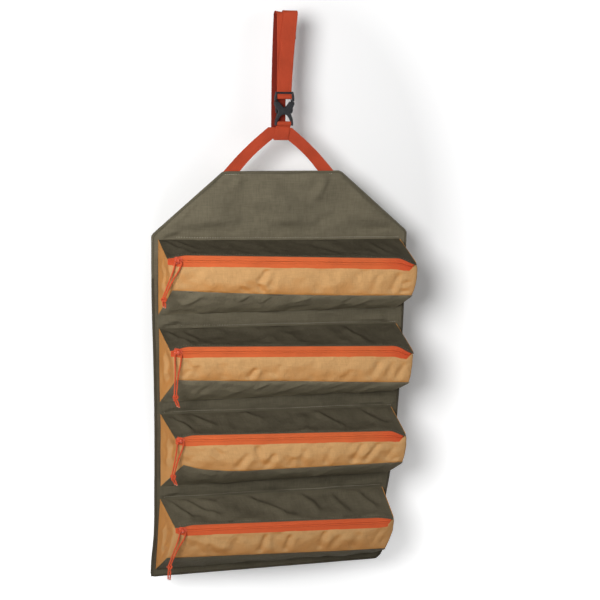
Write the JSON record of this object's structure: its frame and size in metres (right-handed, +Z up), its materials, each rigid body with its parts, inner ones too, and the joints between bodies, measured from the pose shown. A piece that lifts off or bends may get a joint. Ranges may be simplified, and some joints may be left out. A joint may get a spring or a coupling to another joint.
{
  "type": "kitchen utensil roll",
  "caption": "Hanging cloth roll for camp-kitchen utensils, with zipped pouches on a folding back panel, a webbing handle and a strap with a side-release buckle.",
  "frame": {"origin": "inside top of the hanging strap's loop, where a hook carries the roll", "axes": "+Z up along the hanging strap, -Y out of the pouches towards the user, +X to the user's right"},
  "size_m": [0.45, 0.0863, 0.9909],
  "materials": {
    "olive_cloth": "coated plain weave, matt",
    "dark_olive_cloth": "coated plain weave, matt",
    "binding_tape": "narrow woven tape, matt",
    "tan_cloth": "coated plain weave, matt",
    "zip_tape": "woven tape with a nylon coil",
    "zip_slider": "painted, worn to metal at its edges",
    "pull_cord": "braided cord",
    "webbing": "ribbed polyester webbing",
    "buckle_plastic": "fine moulded grain"
  },
  "bodies": {
    "root": {"strap_rear": "webbing", "tab": "webbing", "handle": "webbing", "buckle_female": "buckle_plastic"},
    "buckle_upper": {"buckle_male": "buckle_plastic", "strap_front": "webbing"},
    "prong_left": {"prong_left": "buckle_plastic"},
    "prong_right": {"prong_right": "buckle_plastic"},
    "flap": {"flap": "olive_cloth", "flap_binding": "binding_tape"},
    "section_1": {"back_1": "olive_cloth", "binding_left_1": "binding_tape", "binding_right_1": "binding_tape", "lid_1": "dark_olive_cloth", "zip_upper_1": "zip_tape", "zip_lower_1": "zip_tape", "front_1": "tan_cloth", "floor_1": "dark_olive_cloth"},
    "slider_1": {"slider_1": "zip_slider"},
    "pull_1": {"pull_cord_1": "pull_cord"},
    "section_2": {"back_2": "olive_cloth", "binding_left_2": "binding_tape", "binding_right_2": "binding_tape", "lid_2": "dark_olive_cloth", "zip_upper_2": "zip_tape", "zip_lower_2": "zip_tape", "front_2": "tan_cloth", "floor_2": "dark_olive_cloth"},
    "slider_2": {"slider_2": "zip_slider"},
    "pull_2": {"pull_cord_2": "pull_cord"},
    "section_3": {"back_3": "olive_cloth", "binding_left_3": "binding_tape", "binding_right_3": "binding_tape", "lid_3": "dark_olive_cloth", "zip_upper_3": "zip_tape", "zip_lower_3": "zip_tape", "front_3": "tan_cloth", "floor_3": "dark_olive_cloth"},
    "slider_3": {"slider_3": "zip_slider"},
    "pull_3": {"pull_cord_3": "pull_cord"},
    "section_4": {"back_4": "olive_cloth", "binding_foot": "binding_tape", "lid_4": "dark_olive_cloth", "zip_upper_4": "zip_tape", "zip_lower_4": "zip_tape", "front_4": "tan_cloth", "floor_4": "dark_olive_cloth"},
    "slider_4": {"slider_4": "zip_slider"},
    "pull_4": {"pull_cord_4": "pull_cord"}
  },
  "joints": [
    {"name": "handle_fold", "type": "hinge", "parent": "root", "child": "flap", "pos_m": [0, -0.00345, -0.26645], "axis": [1, 0, 0], "range_deg": [-85, 85]},
    {"name": "fold_1", "type": "hinge", "parent": "flap", "child": "section_1", "pos_m": [0, -0.005, -0.383], "axis": [-1, 0, 0], "range_deg": [0, 40]},
    {"name": "fold_2", "type": "hinge", "parent": "section_1", "child": "section_2", "pos_m": [0, -0.005, -0.538], "axis": [-1, 0, 0], "range_deg": [0, 40]},
    {"name": "fold_3", "type": "hinge", "parent": "section_2", "child": "section_3", "pos_m": [0, -0.005, -0.693], "axis": [-1, 0, 0], "range_deg": [0, 40]},
    {"name": "fold_4", "type": "hinge", "parent": "section_3", "child": "section_4", "pos_m": [0, -0.005, -0.848], "axis": [-1, 0, 0], "range_deg": [0, 40]},
    {"name": "zip_1", "type": "slide", "parent": "section_1", "child": "slider_1", "axis": [0.9994, 0, -0.0355], "range_m": [0, 0.37]},
    {"name": "pull_swing_1", "type": "hinge", "parent": "slider_1", "child": "pull_1", "pos_m": [-0.19, -0.0772, -0.40224], "axis": [1, 0, 0], "range_deg": [-80, 0]},
    {"name": "zip_2", "type": "slide", "parent": "section_2", "child": "slider_2", "axis": [0.9994, 0, -0.0355], "range_m": [0, 0.37]},
    {"name": "pull_swing_2", "type": "hinge", "parent": "slider_2", "child": "pull_2", "pos_m": [-0.19, -0.0772, -0.55724], "axis": [1, 0, 0], "range_deg": [-80, 0]},
    {"name": "zip_3", "type": "slide", "parent": "section_3", "child": "slider_3", "axis": [0.9994, 0, -0.0355], "range_m": [0, 0.37]},
    {"name": "pull_swing_3", "type": "hinge", "parent": "slider_3", "child": "pull_3", "pos_m": [-0.186, -0.0772, -0.71239], "axis": [1, 0, 0], "range_deg": [-80, 0]},
    {"name": "zip_4", "type": "slide", "parent": "section_4", "child": "slider_4", "axis": [0.9994, 0, -0.0355], "range_m": [0, 0.37]},
    {"name": "pull_swing_4", "type": "hinge", "parent": "slider_4", "child": "pull_4", "pos_m": [-0.182, -0.0772, -0.87453], "axis": [1, 0, 0], "range_deg": [-80, 0]},
    {"name": "buckle_release", "type": "slide", "parent": "root", "child": "buckle_upper", "axis": [0, 0, 1], "range_m": [0, 0.028], "deforming": ["strap_front"]},
    {"name": "prong_left_flex", "type": "hinge", "parent": "buckle_upper", "child": "prong_left", "pos_m": [-0.01305, -0.0063, -0.1448], "axis": [0, -1, 0], "range_deg": [0, 7], "stiffness_Nm_per_rad": 0.02},
    {"name": "prong_right_flex", "type": "hinge", "parent": "buckle_upper", "child": "prong_right", "pos_m": [0.01305, -0.0063, -0.1448], "axis": [0, 1, 0], "range_deg": [0, 7], "stiffness_Nm_per_rad": 0.02}
  ]
}
